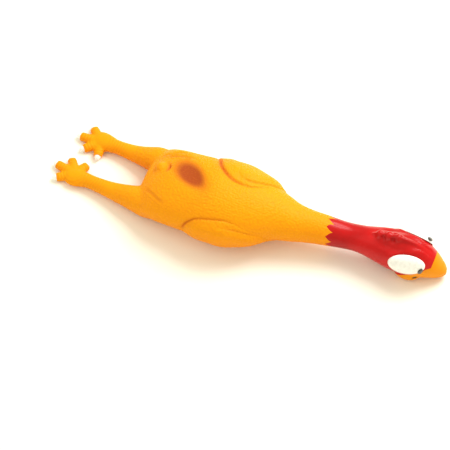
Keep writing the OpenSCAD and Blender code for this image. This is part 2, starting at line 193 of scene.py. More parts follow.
def spine(s):
    """Where the middle of the neck or head lies, s mm from the neck's root, and its turn."""
    x, y, turn = path(min(s, THROAT_START), NECK_TURN, TURN_LENGTH)
    if s > THROAT_START:
        ahead, aside, more = path(s - THROAT_START, HEAD_TURN - NECK_TURN, HEAD_START - THROAT_START)
        x += ahead * math.cos(turn) - aside * math.sin(turn)
        y += ahead * math.sin(turn) + aside * math.cos(turn)
        turn += more
    return NECK_ROOT + x, FRONT_LEAN + y, turn


def on_leg(side, d):
    """Where the middle of a leg is, d mm from the hip, before the rear is bowed."""
    x, y, _ = path(d, LEG_TURN[side], HIP_BEND)
    return CROTCH - x, side * LEG_Y + y


def palm_place(side):
    """The middle of a palm, seen from above, before the torso is bowed."""
    x, y = on_leg(side, LEG_LENGTH[side])
    ahead = math.pi + FOOT_TURN[side]
    return x + PALM_REACH * math.cos(ahead), y + PALM_REACH * math.sin(ahead)


# ---- modelling helpers ----------------------------------------------------------------


def clear_selection():
    if bpy.context.mode != "OBJECT":
        bpy.ops.object.mode_set(mode="OBJECT")
    bpy.ops.object.select_all(action="DESELECT")


def pick(obj):
    clear_selection()
    obj.select_set(True)
    bpy.context.view_layer.objects.active = obj


def settle(obj, name):
    """Names a finished form and puts its place into its mesh."""
    pick(obj)
    bpy.ops.object.transform_apply(location=True, rotation=True, scale=True)
    obj.name = obj.data.name = name
    return obj


def oval_tube(name, rings, sides=48):
    """A closed form extruded ring by ring along X: each ring is (x, y, half width, low, top) in mm."""
    clear_selection()
    x, y, half, low, top = rings[0]
    middle = Vector((x, y, (low + top) / 2)) * MM
    bpy.ops.mesh.primitive_circle_add(
        vertices=sides, radius=1, fill_type="NGON", location=middle, rotation=(0, math.pi / 2, 0)
    )
    obj = bpy.context.object
    bpy.ops.object.mode_set(mode="EDIT")
    bpy.ops.transform.resize(value=(1, half * MM, (top - low) / 2 * MM), center_override=middle)
    width, height = half, top - low
    for x, y, half, low, top in rings[1:]:
        centre = Vector((x, y, (low + top) / 2)) * MM
        bpy.ops.mesh.extrude_region_move(TRANSFORM_OT_translate={"value": centre - middle})
        bpy.ops.transform.resize(
            value=(1, half / width, (top - low) / height), center_override=centre
        )
        middle, width, height = centre, half, top - low
    bpy.ops.mesh.select_all(action="SELECT")
    bpy.ops.mesh.normals_make_consistent(inside=False)
    bpy.ops.object.mode_set(mode="OBJECT")
    return settle(obj, name)


def dome(name, middle, radii, turn=0.0):
    """An oval lump with its middle and three radii in mm, turned about Z."""
    clear_selection()
    bpy.ops.mesh.primitive_uv_sphere_add(
        segments=40, ring_count=24, radius=1, location=Vector(middle) * MM, rotation=(0, 0, turn)
    )
    bpy.context.object.scale = Vector(radii) * MM
    return settle(bpy.context.object, name)


def steps(first, last, count):
    return [first + (last - first) * i / count for i in range(count + 1)]


def finish_with(obj, kind, **settings):
    """Adds a modifier and applies it."""
    pick(obj)
    modifier = obj.modifiers.new(kind.title(), kind)
    for key, value in settings.items():
        setattr(modifier, key, value)
    bpy.ops.object.modifier_apply(modifier=modifier.name)


def read_points(mesh, what="co"):
    values = np.empty(len(mesh.vertices) * 3, dtype=np.float32)
    (mesh.vertices if what == "co" else mesh.vertex_normals).foreach_get(
        what if what == "co" else "vector", values
    )
    return values.reshape(-1, 3).astype(float)


def write_points(mesh, points):
    mesh.vertices.foreach_set("co", points.astype(np.float32).ravel())
    mesh.update()


def paint(mesh, name, values):
    """Stores one number a point, for the latex material to read."""
    layer = mesh.attributes.new(name, "FLOAT", "POINT")
    layer.data.foreach_set("value", np.clip(values, 0, 1).astype(np.float32))


def paint_vector(mesh, name, vectors):
    layer = mesh.attributes.new(name, "FLOAT_VECTOR", "POINT")
    layer.data.foreach_set("vector", vectors.astype(np.float32).ravel())


def distance_to_line(points, line):
    """Distance of each point to a polyline, and how far along it the nearest place is, 0 to 1."""
    line = np.array(line, float)
    best = np.full(len(points), 1e9)
    along = np.zeros(len(points))
    lengths = np.linalg.norm(np.diff(line, axis=0), axis=1)
    total, done = lengths.sum(), 0.0
    for a, b, length in zip(line[:-1], line[1:], lengths):
        t = np.clip(((points - a) @ (b - a)) / length**2, 0, 1)
        d = np.linalg.norm(points - a - t[:, None] * (b - a), axis=1)
        near = d < best
        best[near] = d[near]
        along[near] = ((done + t * length) / total)[near]
        done += length
    return best, along


# ---- what a user would change ---------------------------------------------------------


class ChickenSizes(bpy.types.PropertyGroup):
    """Sizes of the latex skin's relief."""

    grain: FloatProperty(
        name="Mesh grain", description="Distance between the skin's points, in mm",
        default=1.15, min=0.8, max=3
    )
    crease_depth: FloatProperty(
        name="Crease depth", description="Depth of the creases beside the wings, in mm",
        default=1.1, min=0, max=3
    )
    dish_depth: FloatProperty(
        name="Dish depth", description="Depth of the dish in the rump, in mm", default=3.2, min=0, max=6
    )
    pimple_pitch: FloatProperty(
        name="Pimple pitch", description="Distance between the plucked skin's pimples, in mm",
        default=2.4, min=1, max=8
    )
    pimple_height: FloatProperty(
        name="Pimple height", description="Height of the plucked skin's pimples, in mm",
        default=0.45, min=0, max=1
    )
    scute_pitch: FloatProperty(
        name="Scute pitch", description="Distance between the rings round a shank, in mm",
        default=3.2, min=1, max=6
    )
    paint_teeth: IntProperty(
        name="Paint teeth", description="Points of red paint round the neck", default=10, min=3, max=20
    )


class ChickenColours(bpy.types.PropertyGroup):
    """Colours of the latex and of its paint."""

    yellow: FloatVectorProperty(
        name="Yellow latex", description="Latex of the body",
        subtype="COLOR", size=3, default=(0.90, 0.335, 0.001)
    )
    # Colour of the sprayed orange, and of the painted shade low on the body and in its hollows.
    orange: FloatVectorProperty(
        name="Orange shade", description="Sprayed shade low on the body",
        subtype="COLOR", size=3, default=(0.84, 0.27, 0.004)
    )
    # Colour of the painted shade in the creases and folds, and of the painted shadow in front of the tail
    # nub.
    crease_shade: FloatVectorProperty(
        name="Crease paint", description="Paint in the creases",
        subtype="COLOR", size=3, default=(0.60, 0.14, 0.010)
    )
    patch: FloatVectorProperty(
        name="Patch paint", description="Paint in the dish of the rump",
        subtype="COLOR", size=3, default=(0.38, 0.065, 0.010)
    )
    red: FloatVectorProperty(
        name="Red paint", description="Paint of the head and upper neck",
        subtype="COLOR", size=3, default=(0.56, 0.005, 0.006)
    )
    beak: FloatVectorProperty(
        name="Beak", description="Latex of the beak and jaw",
        subtype="COLOR", size=3, default=(0.84, 0.28, 0.003)
    )
    eye_white: FloatVectorProperty(
        name="Eye white", description="Paint of the eyes and claws",
        subtype="COLOR", size=3, default=(0.93, 0.92, 0.90)
    )
    pupil: FloatVectorProperty(
        name="Pupil", description="Paint of the pupils and the corner of the mouth",
        subtype="COLOR", size=3, default=(0.022, 0.014, 0.012)
    )


class StageSettings(bpy.types.PropertyGroup):
    """The table, the light and the camera."""

    azimuth: FloatProperty(
        name="Azimuth", description="Camera's place round the object",
        subtype="ANGLE", default=math.radians(23)
    )
    elevation: FloatProperty(
        name="Elevation", description="Camera's height above the horizon",
        subtype="ANGLE", default=math.radians(58)
    )
    distance: FloatProperty(
        name="Distance", description="Camera to the middle of the view", unit="LENGTH", default=5.0, min=0.3
    )
    view_width: FloatProperty(
        name="View width", description="Width seen at the object", unit="LENGTH", default=0.482, min=0.1
    )


# ---- materials ------------------------------------------------------------------------


def new_material(name):
    """An empty node material; returns it with its tree and its Principled shader."""
    material = bpy.data.materials.new(name)
    material.use_nodes = True
    tree = material.node_tree
    return material, tree, tree.nodes["Principled BSDF"]


class Nodes:
    """Short names for the shader nodes that the materials use."""

    def __init__(self, tree):
        self.tree = tree

    def add(self, kind, inputs=(), **settings):
        node = self.tree.nodes.new(kind)
        for key, value in settings.items():
            setattr(node, key, value)
        for key, value in dict(inputs).items():
            self.put(value, node.inputs[key])
        return node

    def put(self, value, socket):
        if isinstance(value, bpy.types.NodeSocket):
            self.tree.links.new(value, socket)
        else:
            socket.default_value = value

    def number(self, name):
        return self.add("ShaderNodeAttribute", attribute_name=name).outputs["Fac"]

    def math(self, operation, a, b=0.0, c=0.0, clamp=False):
        node = self.add("ShaderNodeMath", {0: a, 1: b}, operation=operation, use_clamp=clamp)
        if operation in {"MULTIPLY_ADD", "SMOOTH_MIN", "SMOOTH_MAX"}:
            self.put(c, node.inputs[2])
        return node.outputs[0]

    def step(self, value, low, high, to_low=0.0, to_high=1.0):
        """A smooth step of value from low to high."""
        return self.add(
            "ShaderNodeMapRange",
            {"Value": value, "From Min": low, "From Max": high, "To Min": to_low, "To Max": to_high},
            interpolation_type="SMOOTHSTEP",
        ).outputs["Result"]

    def mix(self, factor, a, b):
        node = self.add("ShaderNodeMix", data_type="RGBA")
        self.put(factor, node.inputs["Factor"])
        self.put(a, node.inputs["A"])
        self.put(b, node.inputs["B"])
        return node.outputs["Result"]


def rgba(colour):
    return (*colour, 1.0)


def latex_material(sizes, colours):
    """Yellow latex with sprayed orange and painted shade, plucked skin, ringed shanks, and the red and
    orange head.
    """
    material, tree, skin = new_material("latex_skin")
    n = Nodes(tree)
    mould = n.add("ShaderNodeAttribute", attribute_name="mould").outputs["Vector"]
    place = n.add("ShaderNodeSeparateXYZ", {0: mould}).outputs
    x, y, z = place["X"], place["Y"], place["Z"]

    # Red paint: its edge runs round the neck in uneven points.
    angle = n.math("ARCTAN2", n.math("SUBTRACT", z, 29 * MM), y)
    wobble = n.add("ShaderNodeTexNoise", {"Vector": mould, "Scale": 55.0, "Detail": 1.0}).outputs["Fac"]
    uneven = n.math("MULTIPLY", wobble, 0.9)
    turns = n.math("MULTIPLY_ADD", angle, sizes.paint_teeth / (2 * math.pi), uneven)
    tooth = n.math("PINGPONG", turns, 0.5)
    tooth = n.math("POWER", n.math("MULTIPLY", tooth, 2.0), 0.62)
    reach = n.math("MULTIPLY_ADD", wobble, 5 * MM, 5.5 * MM)
    edge = n.math("SUBTRACT", 135.5 * MM, n.math("MULTIPLY", tooth, reach))
    red = n.step(n.math("SUBTRACT", x, edge), -0.12 * MM, 0.2 * MM)

    # The beak and the jaw under the eyes are left orange.
    brow = n.math("MULTIPLY", n.math("MULTIPLY", y, y), 10.0)
    front = n.step(n.math("ADD", x, brow), 246.4 * MM, 246.9 * MM)
    jaw_line = n.math("MULTIPLY", n.math("SUBTRACT", x, 194 * MM), 0.58)
    jaw_line = n.math("MINIMUM", jaw_line, 27 * MM)
    jaw = n.step(n.math("SUBTRACT", jaw_line, z), -0.3 * MM, 0.3 * MM)
    beak = n.math("MAXIMUM", front, jaw)

    # Plucked skin: rows of low pimples, with painted shade between them.
    pimples = n.add(
        "ShaderNodeTexVoronoi",
        {"Vector": mould, "Scale": 1 / (sizes.pimple_pitch * MM), "Randomness": 0.62},
        feature="SMOOTH_F1",
    ).outputs["Distance"]
    pimple = n.step(pimples, 0.12, 0.72, 1.0, 0.0)
    bumpy = n.number("bumpy")
    between = n.math("MULTIPLY", n.math("SUBTRACT", 1.0, pimple), n.math("MULTIPLY", bumpy, 0.5))
    waves = RING_SPAN * 2 * math.pi / sizes.scute_pitch
    ring = n.math("COSINE", n.math("MULTIPLY", n.number("from_palm"), waves))
    ring = n.math("MULTIPLY", n.math("MULTIPLY_ADD", ring, 0.5, 0.5), n.number("ringed"))
    # Painted shade in the grooves of the rings round the shanks and toes.
    between = n.math("ADD", between, n.math("MULTIPLY", ring, 0.42))
    cloud = n.add("ShaderNodeTexNoise", {"Vector": mould, "Scale": 22.0, "Detail": 3.0}).outputs["Fac"]
    shade = n.math("ADD", n.number("shade"), n.math("MULTIPLY_ADD", cloud, 0.30, -0.12))
    shade = n.math("ADD", shade, between, clamp=True)

    # Orange where the latex is sprayed, and as painted shade where the skin faces down, between the
    # pimples, in the shank rings and between the dish's ripples.
    colour = n.mix(shade, rgba(colours.yellow), rgba(colours.orange))
    # Painted shade in the creases and folds, and painted shadow in front of the tail nub.
    colour = n.mix(n.number("crease_shade"), colour, rgba(colours.crease_shade))
    speckle = n.add("ShaderNodeTexNoise", {"Vector": mould, "Scale": 900.0, "Detail": 2.0}).outputs["Fac"]
    patch = n.math("MULTIPLY", n.number("patch"), n.step(speckle, 0.2, 0.5, 0.82, 1.0))
    colour = n.mix(patch, colour, rgba(colours.patch))
    deep_red = tuple(0.62 * c for c in colours.red)
    painted = n.mix(n.step(cloud, 0.35, 0.75), rgba(colours.red), rgba(deep_red))
    colour = n.mix(red, colour, painted)
    tip = n.step(cloud, 0.3, 0.7, 0.0, 0.35)
    colour = n.mix(beak, colour, n.mix(tip, rgba(colours.beak), rgba(colours.yellow)))
    colour = n.mix(n.number("mouth"), colour, rgba(colours.pupil))
    n.put(colour, skin.inputs["Base Color"])

    gloss = n.math("MAXIMUM", red, beak)
    n.put(n.step(gloss, 0.0, 1.0, 0.5, 0.3), skin.inputs["Roughness"])
    skin.inputs["Subsurface Weight"].default_value = 0.04
    skin.inputs["Subsurface Radius"].default_value = (1.0, 0.6, 0.2)
    skin.inputs["Subsurface Scale"].default_value = 0.002
    skin.inputs["Specular IOR Level"].default_value = 0.1
    n.put(n.math("MULTIPLY", n.math("SUBTRACT", gloss, beak), 0.22), skin.inputs["Coat Weight"])
    skin.inputs["Coat Roughness"].default_value = 0.2

    # Relief too fine for the mesh: pimples, the rings round the shanks and brush marks in the paint.
    unpainted = n.math("SUBTRACT", 1.0, gloss)
    height = n.math("MULTIPLY", n.math("MULTIPLY", pimple, sizes.pimple_height), bumpy)
    height = n.math("SUBTRACT", n.math("MULTIPLY", height, unpainted), n.math("MULTIPLY", ring, 0.35))
    brushed = n.add("ShaderNodeTexNoise", {"Vector": mould, "Scale": 160.0, "Detail": 2.0}).outputs["Fac"]
    height = n.math("ADD", height, n.math("MULTIPLY", brushed, 0.10))
    bump = n.add("ShaderNodeBump", {"Height": height, "Strength": 0.9, "Distance": MM})
    n.put(bump.outputs["Normal"], skin.inputs["Normal"])
    return material


def gloss_material(name, colour, roughness, scale=300.0, relief=0.03):
    """Glossy paint, slightly uneven, on latex."""
    material, tree, shader = new_material(name)
    n = Nodes(tree)
    where = n.add("ShaderNodeTexCoord").outputs["Object"]
    cloud = n.add("ShaderNodeTexNoise", {"Vector": where, "Scale": scale, "Detail": 2.0}).outputs["Fac"]
    dim = tuple(0.88 * c for c in colour)
    n.put(n.mix(n.step(cloud, 0.35, 0.75), rgba(colour), rgba(dim)), shader.inputs["Base Color"])
    n.put(n.step(cloud, 0.2, 0.8, roughness, roughness + 0.12), shader.inputs["Roughness"])
    bump = n.add("ShaderNodeBump", {"Height": cloud, "Strength": 0.5, "Distance": relief * MM})
    n.put(bump.outputs["Normal"], shader.inputs["Normal"])
    shader.inputs["Coat Weight"].default_value = 0.4
    shader.inputs["Coat Roughness"].default_value = 0.12
    return material


def plastic_material():
    """Milky moulded plastic of the squeaker, with faint turned marks on its face."""
    material, tree, shader = new_material("milky_plastic")
    n = Nodes(tree)
    where = n.add("ShaderNodeTexCoord").outputs["Object"]
    rings = n.add(
        "ShaderNodeTexWave", {"Vector": where, "Scale": 260.0, "Distortion": 0.4},
        wave_type="RINGS", rings_direction="Z",
    ).outputs["Fac"]
    milky = n.mix(n.math("MULTIPLY", rings, 0.25), (0.80, 0.81, 0.78, 1), (0.68, 0.68, 0.63, 1))
    n.put(milky, shader.inputs["Base Color"])
    bump = n.add("ShaderNodeBump", {"Height": rings, "Strength": 0.25, "Distance": 0.05 * MM})
    n.put(bump.outputs["Normal"], shader.inputs["Normal"])
    shader.inputs["Roughness"].default_value = 0.34
    shader.inputs["Subsurface Weight"].default_value = 0.3
    shader.inputs["Subsurface Scale"].default_value = 0.002
    return material


def brass_material():
    """Thin rolled brass of the reed, with rolling marks along it."""
    material, tree, shader = new_material("reed_brass")
    n = Nodes(tree)
    where = n.add("ShaderNodeTexCoord").outputs["Object"]
    stretched = n.add("ShaderNodeMapping", {"Vector": where, "Scale": (4000.0, 4000.0, 90.0)})
    streaks = {"Vector": stretched.outputs["Vector"], "Scale": 1.0, "Detail": 3.0}
    marks = n.add("ShaderNodeTexNoise", streaks).outputs["Fac"]
    n.put(n.mix(marks, (0.83, 0.60, 0.24, 1), (0.62, 0.41, 0.14, 1)), shader.inputs["Base Color"])
    n.put(n.step(marks, 0.2, 0.8, 0.22, 0.42), shader.inputs["Roughness"])
    shader.inputs["Metallic"].default_value = 1.0
    return material


def give(obj, material):
    """Puts one material on all of an object."""
    if not obj.material_slots:
        obj.data.materials.append(material)
    for place in obj.material_slots:
        place.material = material


# ---- the latex skin -------------------------------------------------------------------


def body_form():
    rings = [(x, 0, curve(BODY, 1, x), curve(BODY, 2, x), curve(BODY, 3, x))
             for x in steps(BODY[0][0], BODY[-1][0], 110)]
    return oval_tube("body_form", rings)


def leg_forms(side):
    """A leg with its palm, and its four toes, turned at the ankle."""
    length = LEG_LENGTH[side]
    stretch = length / LEG_DRAWN
    rings = []
    for d in steps(LEG[0][0], LEG[-1][0], 44):
        middle, half, tall = (curve(LEG, c, d) for c in (1, 2, 3))
        along = d * stretch if d < LEG_DRAWN else length + d - LEG_DRAWN
        x, y = on_leg(side, along) if along > 0 else (CROTCH - along, side * LEG_Y)
        rings.append((x, y, half, middle - tall, middle + tall))
    leg = oval_tube("leg_form", rings, 36)
    ankle = Vector((*on_leg(side, length), 0)) * MM
    bpy.ops.object.mode_set(mode="EDIT")
    bpy.ops.mesh.select_all(action="DESELECT")
    bpy.ops.object.mode_set(mode="OBJECT")
    for v in leg.data.vertices:
        v.select = v.co.x < ankle.x - MM
    bpy.ops.object.mode_set(mode="EDIT")
    bpy.ops.transform.rotate(
        value=-FOOT_TURN[side] - LEG_TURN[side], orient_axis="Z", center_override=ankle,
        constraint_axis=(False, False, True),
    )
    bpy.ops.object.mode_set(mode="OBJECT")
    forms = [leg]

    ahead = math.pi + FOOT_TURN[side]
    palm = palm_place(side)
    for turn, reach in TOES:
        toe = oval_tube("toe_form", [
            (x, 0, half, TOE_HEIGHT - tall, TOE_HEIGHT + tall)
            for x, half, tall in (
                (-2, 6.2, 4.8), (3, 6.4, 5.0), (8, 6.1, 5.0), (12, 5.4, 4.9), (reach - 2, 5.0, 4.8),
                (reach, 4.8, 4.7), (reach + 0.8, 4.4, 4.4),
            )
        ], 24)
        toe.rotation_euler = (0, math.radians(2), ahead - side * math.radians(turn))
        toe.location = (palm[0] * MM, palm[1] * MM, 0)
        forms.append(settle(toe, "toe_form"))
    return forms


COMB_LUMPS = (185.0, 195.0, 205.5)


def head_forms():
    """The jowls, and the comb: a crest along the head, with three round lumps at its back."""
    forms = [dome("lump_form", (x, 0, curve(BODY, 3, x) - 0.5), (5.2, 5.6, 6.4)) for x in COMB_LUMPS]
    forms += [dome("jowl_form", (220, side * 14.0, 10), (14, 7.6, 8.8)) for side in (-1, 1)]
    ridge = ((176, 1.5, 46), (184, 3.2, 50), (195, 3.6, 52.5), (208, 3.8, 53.5), (218, 3.6, 51.5),
             (228, 3, 47), (235, 2, 42))
    rings = [(x, 0, curve(ridge, 1, x), 34, curve(ridge, 2, x)) for x in steps(176, 235, 30)]
    forms.append(oval_tube("comb_form", rings, 24))
    return forms


THIGH_CREASE = ((-74, -20, 36), (-62, -26, 42.4), (-49.3, -32.3, 46.6), (-38, -35.5, 47.6))
RUMP_CREASE = ((-66, 19.5, 42), (-59.5, 22.4, 45.5), (-49, 26, 50.3), (-37.7, 27.3, 53.5), (-27, 27.5, 56))
NUB = (-62.0, 6.0)
DISH = (-26.5, 3.5)
DISH_TURN = math.radians(-34)


class Relief:
    """What is pushed out of the straight skin or into it, and the paint and painted shade on it, point by
    point.
    """

    def __init__(self, mesh):
        self.mesh = mesh
        self.points = read_points(mesh) / MM
        self.normals = read_points(mesh, "normal")
        self.x, self.y, self.z = self.points.T
        count = len(self.points)
        self.push, self.crease_shade, self.shade, self.patch, self.mouth = (np.zeros(count) for _ in range(5))

    def groove(self, distance, width, depth, tone=0.0, spread=1.0, where=1.0):
        """A soft groove, darkened with painted shade as wide as spread times its width."""
        self.push -= depth * np.exp(-((distance / width) ** 2)) * where
        self.crease_shade += tone * np.exp(-((distance / (width * spread)) ** 2)) * where

    def flank_angle(self, side):
        """How far each point lies up the flank of one side, in degrees from its widest line."""
        stations = np.linspace(BODY[0][0], BODY[-1][0], 400)
        half, low, top = (
            np.interp(self.x, stations, [curve(BODY, c, x) for x in stations]) for c in (1, 2, 3)
        )
        up = (self.z - (low + top) / 2) / ((top - low) / 2)
        return np.degrees(np.arctan2(up, side * self.y / half))


def edge_distance(points, outline):
    """Distance of each point inside a closed outline to its edge, and a negative one outside it."""
    distance, _ = distance_to_line(points, [*outline, outline[0]])
    inside = np.zeros(len(points), bool)
    x, y = points.T
    for (ax, ay), (bx, by) in zip(outline, [*outline[1:], outline[0]]):
        crosses = (ay > y) != (by > y)
        inside ^= crosses & (x < (bx - ax) * (y - ay) / (by - ay + 1e-9) + ax)
    return np.where(inside, distance, -distance)


def carve_wings(relief, sizes):
    """Two folded wings: a raised leaf, a groove darkened with painted shade round its rear, longer feathers
    on it.
    """
    scale = math.radians(1) * FLANK_RADIUS
    for side in (-1, 1):
        flank = np.column_stack([relief.x, relief.flank_angle(side) * scale])
        here = (np.abs(relief.x) < 90) & (relief.z > 3)

        def outline(rows):
            return [(x, a * scale) for x, a in rows]

        edge = edge_distance(flank, outline(WING_TOP[side] + WING_UNDER))
        leaf = 1.2 * ease(edge / 1.8) + 3.1 * ease(edge / 15)
        relief.push += leaf * (1 - 0.5 * ease((relief.x - 15) / 30)) * here
        crease_shade = outline(WING_TOP[side])
        distance, along = distance_to_line(flank, crease_shade)
        fade = (1 - ease((along - 0.50) / 0.32)) * ease(along / 0.10) * here
        strong = (1 - ease((along - 0.26) / 0.40)) * fade
        # The groove round each wing is darkened with painted shade, more on the left wing.
        relief.groove(distance, 1.4, sizes.crease_depth, 0.42 if side > 0 else 0.26, 1.0, fade)
        if side > 0:
            dark = strong * ease((along - 0.2) / 0.08)
            relief.groove(distance, 1.7, 0.4 * sizes.crease_depth, 0.75, 1.0, dark)
            relief.crease_shade += 0.34 * np.exp(-((distance / 4.2) ** 2)) * strong
        else:
            dark = (1 - ease((along - 0.16) / 0.2)) * fade
            relief.groove(distance, 1.3, 0.4 * sizes.crease_depth, 0.45, 1.0, dark)
            relief.crease_shade += 0.14 * np.exp(-((distance / 4.0) ** 2)) * strong

        feathers = outline(FEATHERS_TOP[side] + WING_UNDER)
        edge = edge_distance(flank, feathers)
        grown = ease((relief.x - 8) / 24) * here
        relief.push += (0.9 * ease(edge / 1.2) + 1.3 * ease(edge / 10)) * grown
        distance, along = distance_to_line(flank, outline(FEATHERS_TOP[side]))
        fade = ease((relief.x - 22) / 14) * (1 - ease((along - 0.82) / 0.18)) * here
        # Painted shade in the groove round the longer feathers.
        relief.groove(distance, 1.2, 0.55, 0.30, 1.0, fade)


def carve_folds(relief):
    """Soft folds where the legs and the rump join, several side by side, darkened with painted shade."""
    for line, sides, depth, tone in ((THIGH_CREASE, (-1, 1), 0.9, 0.26), (RUMP_CREASE, (1,), 0.9, 0.5)):
        for side in sides:
            track = [(a, b * (1 if line is RUMP_CREASE else -side), c) for a, b, c in line]
            distance, along = distance_to_line(relief.points, track)
            fade = ease(along / 0.25) * (1 - ease((along - 0.7) / 0.3))
            # Painted shade in the folds.
            relief.groove(distance, 1.6, depth, tone, 0.9, fade)
            ripples = np.cos(distance * 2 * math.pi / 3.3) * np.exp(-((distance / 7) ** 2))
            relief.push += 0.34 * ripples * fade
            relief.crease_shade += 0.10 * np.exp(-((distance / 6) ** 2)) * fade


def carve_dish(relief, sizes):
    """The painted dish in the rump, narrower in front, with rows of ripples round it and painted shade
    between them.
    """
    c, s = math.cos(DISH_TURN), math.sin(DISH_TURN)
    a = (relief.x - DISH[0]) * c + (relief.y - DISH[1]) * s
    b = -(relief.x - DISH[0]) * s + (relief.y - DISH[1]) * c
    up = ease((relief.z - 38) / 10)
    width = 12.5 - 2.4 * np.clip(a / 20, -1, 1)
    reach = np.sqrt((a / 24) ** 2 + (b / width) ** 2) + 1e-6
    relief.push -= sizes.dish_depth * np.exp(-(reach**2.6)) * up
    rows = reach * 15 / sizes.pimple_pitch
    band = ease((reach - 0.7) / 0.4) * (1 - ease((reach - 2.1) / 0.9)) * up
    relief.push += 0.16 * np.cos(rows * 2 * math.pi) * band
    # Painted shade between the ripples.
    relief.shade += 0.07 * (0.5 - 0.5 * np.cos(rows * 2 * math.pi)) * band
    relief.patch = (1 - ease((reach - 0.56) / 0.74)) * up
    relief.shade += 0.55 * np.exp(-(((reach - 1.0) / 0.42) ** 2)) * up


def carve_nub(relief):
    """A short deep crescent in front of the tail nub, darkened with painted shadow, and painted shade round
    the nub's back.
    """
    x, y = relief.x - NUB[0], relief.y - NUB[1]
    around = np.arctan2(y, x) - 0.12
    fade = np.exp(-((around / 0.62) ** 2)) * ease((relief.z - 36) / 6)
    # Painted shadow in the crescent.
    relief.groove(np.hypot(x, y) - 8.4, 1.6, 2.2, 1.5, 1.0, fade)
    # Painted shade round the back of the nub.
    behind = np.exp(-(((around + math.pi * np.sign(-around)) / 0.9) ** 2)) * ease((relief.z - 30) / 6)
    relief.crease_shade += 0.22 * np.exp(-(((np.hypot(x, y) - 8.4) / 2) ** 2)) * behind


def spray_and_shade(relief):
    """Painted shade where the skin faces down, low on the flanks, legs and neck; sprayed orange on the rump
    and legs and on the neck, and an orange band across the back.
    """
    # Painted shade: darker orange wherever the skin faces down.
    below = ease((0.40 - relief.normals[:, 2]) / 1.1)
    relief.shade += 0.85 * below
    # Sprayed orange on the rump and legs, and on the neck.
    relief.shade += 0.12 * ease((-34 - relief.x) / 40) + 0.26 * ease((relief.x - 88) / 30)
    across_back = np.exp(-(((relief.x + 2) / 9) ** 2)) * (relief.y > -26)
    relief.shade += 0.30 * across_back * ease((relief.z - 45) / 12)


EYE_HALF = 20.0      # half the length and half the height of the rim round an eye
EYE_RISE = 11.5


def carve_head(relief):
    """Hollows between the comb and the eyes, dimples between the comb's lumps, and a rim round each eye."""
    x, y, z = relief.points.T
    ahead = Vector((math.cos(HEAD_TURN), math.sin(HEAD_TURN)))
    for side in (-1, 1):
        hollow = [(180, side * 8, 45), (200, side * 10.5, 44), (226, side * 10.5, 38)]
        distance, along = distance_to_line(relief.points, hollow)
        relief.groove(distance, 4.2, 1.8, 0, 1, ease(along / 0.3) * (1 - ease((along - 0.8) / 0.2)))
        for lump in COMB_LUMPS:
            dimple = np.linalg.norm(relief.points - np.array([lump - 5.2, side * 4.0, 49]), axis=1)
            relief.groove(dimple, 2.3, 1.6)
        low, high = (Vector(corner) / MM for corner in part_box("left_eye" if side > 0 else "right_eye"))
        middle = (low + high) / 2
        along = NECK_ROOT + HEAD_START + (middle.xy - Vector(spine(HEAD_START)[:2])).dot(ahead)
        rise = (z - middle.z) / EYE_RISE
        ring = np.sqrt(((x - along) / EYE_HALF) ** 2 + rise**2)
        rim = np.exp(-(((ring - 1.1) / 0.12) ** 2)) * (side * y > 4) * (z > 12)
        relief.push += 0.8 * rim * ease(rise + 0.3)


def seat_squeaker(relief):
    """A flat collar round a round recess for the squeaker's flange, with painted shade round the recess."""
    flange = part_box("squeaker_body")[1][0] / MM
    points = relief.points
    out = np.hypot(points[:, 0], points[:, 1])
    under = (points[:, 2] < 12) & (relief.normals[:, 2] < 0)
    collar = 1 - ease((out - 18) / 6)
    points[under, 2] += ((0.15 - points[:, 2]) * collar)[under]
    seat = 1 - ease((out - flange - 0.3) / 1.1)
    points[under, 2] += (1.9 * seat)[under]
    # Painted shade in a ring round the recess.
    relief.crease_shade += np.where(under, 0.5 * np.exp(-(((out - flange - 0.9) / 0.9) ** 2)), 0)


MOUTH_LINE = ((214, 9.0), (224, 9.8), (232, 12), (244, 10.6), (262, 9.4))


def carve_mouth(relief):
    """A groove round the beak, black at its corners."""
    points = relief.points
    distance, _ = distance_to_line(np.column_stack([points[:, 0], points[:, 2]]), MOUTH_LINE)
    beak = ease((points[:, 0] - 220) / 8)
    points -= relief.normals * (0.9 * np.exp(-((distance / 1.2) ** 2)) * beak)[:, None]
    corner = np.exp(-(((points[:, 0] - 230) / 2.4) ** 4)) * (np.abs(relief.y) > 8)
    relief.mouth = np.exp(-((distance / 1.5) ** 4)) * corner


def carve(mesh, sizes):
    """Moves the skin's points for all its relief, and stores what is painted on them."""
    relief = Relief(mesh)
    carve_wings(relief, sizes)
    carve_folds(relief)
    carve_dish(relief, sizes)
    carve_nub(relief)
    carve_head(relief)
    spray_and_shade(relief)
    x = relief.x.copy()
    out = np.full(len(x), 1e3)
    for side in (-1, 1):
        palm = palm_place(side)
        out = np.minimum(out, np.hypot(x - palm[0], relief.y - palm[1]))
    ringed = ease((-108 - x) / 14) * ease((out - 6) / 8) * ease((relief.z - 2) / 3)
    relief.points = relief.points + relief.normals * relief.push[:, None]
    seat_squeaker(relief)
    carve_mouth(relief)
    relief.points[:, 2] = np.maximum(relief.points[:, 2], 0.0)
    write_points(mesh, relief.points * MM)

    bumpy = (1 - ease((x - 134) / 6)) * ease((x + 112) / 14)
    paint(mesh, "bumpy", bumpy * (1 - 0.6 * relief.patch))
    paint(mesh, "ringed", ringed)
    paint(mesh, "from_palm", out / RING_SPAN)
    for name in ("crease_shade", "patch", "shade", "mouth"):
        paint(mesh, name, getattr(relief, name))
    paint_vector(mesh, "mould", relief.points * MM)


